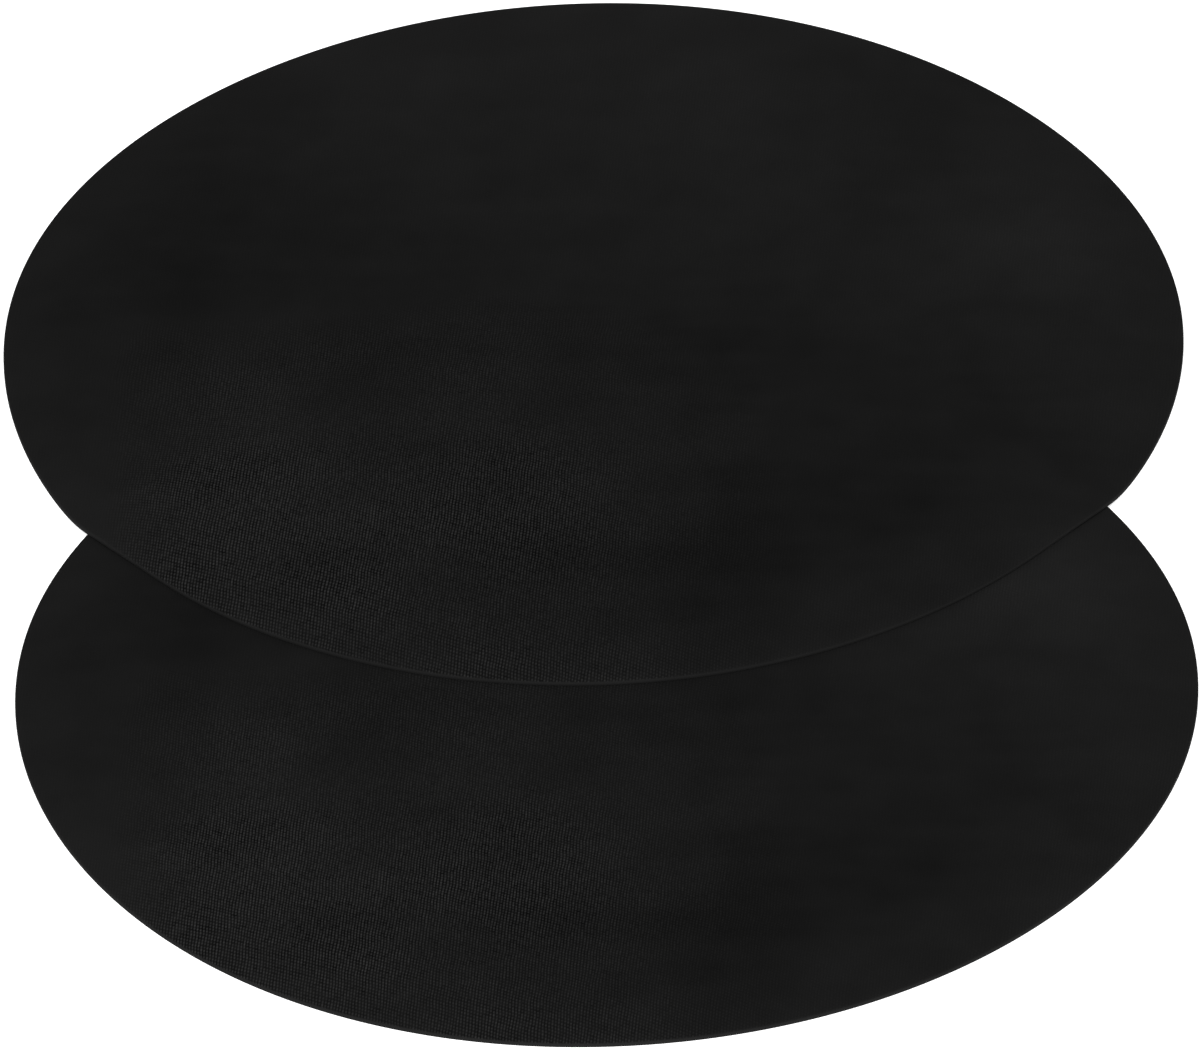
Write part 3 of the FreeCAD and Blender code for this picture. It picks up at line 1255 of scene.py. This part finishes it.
@dataclass(frozen=True)
class Drawcord:
    """The elastic cord: a tail, once round through the tunnel, and the other tail."""

    site: Site
    layers: Layers
    radius: float = 1.5 * MM
    tail_x: float = 1.7 * MM
    tail_z: float = 4.6 * MM
    tail_ys: tuple[float, ...] = (107 * MM, 125 * MM, 145 * MM, 166 * MM)
    exit_x: float = 24 * MM
    points: int = 48

    def route(self) -> list[Vector]:
        """The cord's route.

        Returns:
            The points that its line follows, in the CAD frame.
        """
        gap = math.asin(self.exit_x / self.layers.hem_r)
        step = 2 * (math.pi - gap) / (self.points - 1)
        turns = [math.pi / 2 - gap - step * i for i in range(self.points)]
        outwards = [Vector((math.cos(turn), math.sin(turn), 0)) for turn in turns]
        hem = [way * self.layers.hem_r + UP * self.layers.tunnel_z for way in outwards]
        right = [Vector((self.tail_x, y, self.tail_z)) for y in self.tail_ys]
        left = [Vector((-point.x, point.y, point.z)) for point in reversed(right)]
        return [self.site.place(point) for point in right + hem + left]

    def length(self) -> float:
        """The route's length, in metres."""
        points = self.route()
        return sum((after - before).length for before, after in zip(points, points[1:]))

    def build(self, finishes: Finishes) -> bpy.types.Object:
        """Makes the cord.

        Args:
            finishes: The materials.

        Returns:
            The cord, standing for its CAD node.
        """
        name = self.site.name
        line = bpy.data.curves.new(f"{name}_cord_line", "CURVE")
        line.dimensions = "3D"
        route = self.route()
        spline = line.splines.new("NURBS")
        spline.points.add(len(route) - 1)
        for point, place in zip(spline.points, route):
            point.co = (*place, 1)
        spline.order_u = 3
        spline.use_endpoint_u = True
        line.bevel_depth = self.radius
        line.bevel_resolution = 4
        line.resolution_u = 10
        line.use_fill_caps = True
        holder = bpy.data.objects.new(f"{name}_cord_holder", line)
        mesh = bpy.data.meshes.new_from_object(holder)
        bpy.data.objects.remove(holder)
        mesh.name = f"{name}_elastic_cord"
        mesh.materials.clear()
        return joined(placed(mesh, finishes.cord), f"{name}_cover", "elastic_cord", f"{name}_hem_drawcord")


def copied(node: str, name: str, material: bpy.types.Material) -> bpy.types.Object:
    """Copies a CAD node's mesh, with its doubled points merged and its flat faces whole.

    Args:
        node: The CAD node.
        name: The object's name.
        material: Its material.

    Returns:
        The object.
    """
    bm = bmesh.new()
    bm.from_mesh(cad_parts[node].data)
    bmesh.ops.remove_doubles(bm, verts=bm.verts, dist=MERGE)
    bmesh.ops.dissolve_limit(bm, angle_limit=math.radians(1), verts=bm.verts, edges=bm.edges)
    mesh = bpy.data.meshes.new(name)
    bm.to_mesh(mesh)
    bm.free()
    return placed(mesh, material)


@dataclass(frozen=True)
class Fitting:
    """A moulded or metal piece whose shape is the CAD node's, with its sharp edges eased."""

    node: str
    name: str
    body: str
    slot: str
    ease: float = 0.18 * MM
    sharp: float = math.radians(38)  # edges sharper than this are eased

    def build(self, material: bpy.types.Material) -> bpy.types.Object:
        """Makes the piece.

        Args:
            material: Its material.

        Returns:
            The piece, standing for its CAD node.
        """
        piece = copied(self.node, self.name, material)
        bevel = piece.modifiers.new("ease", "BEVEL")
        bevel.width = self.ease
        bevel.segments = 2
        bevel.limit_method = "ANGLE"
        bevel.angle_limit = self.sharp
        bevel.harden_normals = True
        return joined(piece, self.body, self.slot, self.node)


@dataclass(frozen=True)
class LockSpring:
    """The cord lock's spring, in the CAD node's shape."""

    cover: str
    travel: float = 3 * MM  # how far the button goes in

    def build(self, material: bpy.types.Material) -> bpy.types.Object:
        """Makes the spring.

        Args:
            material: Its material.

        Returns:
            The spring, standing for its CAD node.
        """
        node = f"{self.cover}_cord_lock_spring"
        coil = copied(node, f"{self.cover}_lock_coil", material)
        spring = joined(coil, f"{self.cover}_lock", "spring_steel", node)
        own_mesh(spring)
        return spring


@dataclass(frozen=True)
class CordFittings:
    """The eyelets, the cord lock with its button and spring, and the cord end."""

    site: Site

    def build(self, finishes: Finishes) -> None:
        """Makes every fitting of one cover, each standing for its CAD node.

        Args:
            finishes: The materials.
        """
        name = self.site.name
        eased = (
            ("cord_lock_body", "lock_barrel", "lock", "lock_plastic", finishes.barrel),
            ("cord_lock_button", "lock_plunger", "lock_button", "button_plastic", finishes.button),
            ("cord_end", "cord_bell", "cover", "lock_plastic", finishes.barrel),
            ("cord_eyelets", "eyelet_rings", "cover", "eyelet_metal", finishes.eyelet),
        )
        for node, part, body, slot, material in eased:
            Fitting(f"{name}_{node}", f"{name}_{part}", f"{name}_{body}", slot).build(material)
        LockSpring(name).build(finishes.spring)


@dataclass(frozen=True)
class WheelCover:
    """One whole cover."""

    site: Site
    layers: Layers = Layers()
    gathers: Gathers = Gathers()

    def build(self, finishes: Finishes) -> None:
        """Makes every piece of the cover.

        Args:
            finishes: The materials.
        """
        parts = (self.site, self.layers, self.gathers)
        face = FacePanel(self.site, self.layers).build(finishes)
        skirts = [Skirt(*parts).build(side, finishes) for side in Side]
        binding = RimBinding(self.site, self.layers).build(finishes)
        tapes = SeamTapes(*parts).build(finishes)
        casing = HemCasing(*parts).build(finishes)
        stitches = Stitching(*parts).build(finishes)
        Drawcord(self.site, self.layers).build(finishes)
        CordFittings(self.site).build(finishes)


# ---------------------------------------------------------------- the studio


@dataclass(frozen=True)
class Softbox:
    """A square area light that faces the origin."""

    name: str
    place: Vector
    size: float
    power: float

    def build(self) -> None:
        """Hangs the light."""
        lamp = bpy.data.lights.new(self.name, "AREA")
        lamp.size = self.size
        lamp.energy = self.power
        made = bpy.data.objects.new(self.name, lamp)
        made.location = self.place
        made.rotation_mode = "QUATERNION"
        made.rotation_quaternion = (-self.place).to_track_quat("-Z", "Y")
        made.visible_camera = False
        bpy.context.scene.collection.objects.link(made)


@dataclass(frozen=True)
class Studio:
    """The pale floor, the soft light and the camera."""

    floor_size: float = 120.0
    floor_z: float = -0.2 * MM
    glow: float = 0.45  # the floor is a lit panel, so that shadows on it stay faint
    sky: float = 0.64
    elevation: float = 35.9  # degrees
    roll: float = -1.43  # degrees
    lens: float = 1400.0  # millimetres
    sensor: float = 36.0  # millimetres
    view_width: float = 0.7119
    aim: Vector = Vector((0.001, -0.009, 0.003))
    softboxes: tuple[Softbox, ...] = (Softbox("key", Vector((-0.4, -4.7, 4.6)), 4.4, 576.0),)

    def floor(self) -> None:
        """Lays the floor."""
        bm = bmesh.new()
        bmesh.ops.create_grid(bm, x_segments=1, y_segments=1, size=self.floor_size / 2,
                              matrix=Matrix.Translation((0, 0, self.floor_z)))
        mesh = bpy.data.meshes.new("floor")
        bm.to_mesh(mesh)
        bm.free()
        graph = Graph("floor_paper")
        graph.set(Base_Color=(0.92, 0.92, 0.92, 1), Roughness=1.0, Specular_IOR_Level=0.0)
        graph.set(Emission_Color=(1, 1, 1, 1), Emission_Strength=self.glow)
        mesh.materials.append(graph.material)
        made = bpy.data.objects.new("floor", mesh)
        bpy.context.scene.collection.objects.link(made)

    def light(self) -> None:
        """Sets the sky and hangs the lights."""
        world = bpy.data.worlds.new("sky")
        world.use_nodes = True
        background = world.node_tree.nodes["Background"]
        background.inputs["Color"].default_value = (1, 1, 1, 1)
        background.inputs["Strength"].default_value = self.sky
        bpy.context.scene.world = world
        for softbox in self.softboxes:
            softbox.build()

    def camera(self) -> None:
        """Places the camera, with a long lens so that both covers look the same size."""
        data = bpy.data.cameras.new("camera")
        data.lens = self.lens
        data.sensor_width = self.sensor
        data.clip_start = 0.1
        data.clip_end = 200.0
        made = bpy.data.objects.new("camera", data)
        rise = math.radians(self.elevation)
        back = Vector((0, -math.cos(rise), math.sin(rise)))
        made.location = self.aim + back * (self.view_width * self.lens / self.sensor)
        made.rotation_mode = "QUATERNION"
        turn = Quaternion((0, 0, 1), math.radians(self.roll))
        made.rotation_quaternion = (-back).to_track_quat("-Z", "Y") @ turn
        bpy.context.scene.collection.objects.link(made)
        bpy.context.scene.camera = made

    def build(self) -> None:
        """Makes the whole studio."""
        self.floor()
        self.light()
        self.camera()
        bpy.context.scene.view_settings.view_transform = "Standard"


def main() -> None:
    """Builds the studio and both covers."""
    logging.basicConfig(level=logging.INFO, format="%(name)s: %(message)s")
    Studio().build()
    sites = [Site.of(name) for name in ("front", "rear")]
    finishes = Finishes.mixed(Drawcord(sites[0], Layers()).length())
    for site in sites:
        WheelCover(site).build(finishes)


if __name__ == "__main__":
    main()
